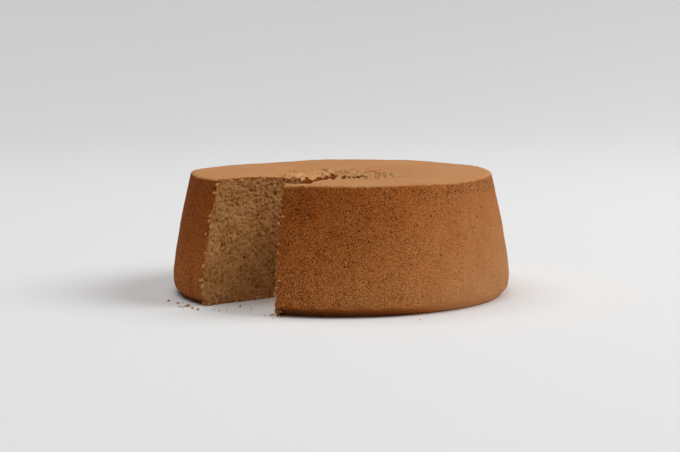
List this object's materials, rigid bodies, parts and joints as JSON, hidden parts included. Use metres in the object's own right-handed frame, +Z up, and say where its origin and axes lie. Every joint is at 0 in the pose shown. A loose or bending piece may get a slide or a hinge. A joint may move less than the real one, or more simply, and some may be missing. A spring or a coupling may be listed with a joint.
{
  "type": "angel food cake",
  "caption": "Ring-shaped angel food cake with a browned crust, a tube hole in the middle and a slice cut out, standing on its wider side.",
  "frame": {"origin": "middle of the underside, on the axis of the tube hole", "axes": "+Z up along the tube hole, -Y to the front, with the cut-out slice left of the front, between -X and -Y"},
  "size_m": [0.25, 0.2492, 0.0894],
  "materials": {
    "crust": "matte baked crust with fine pores",
    "crumb": "matte open sponge crumb"
  },
  "bodies": {
    "root": {"cake": "crust"}
  },
  "joints": []
}
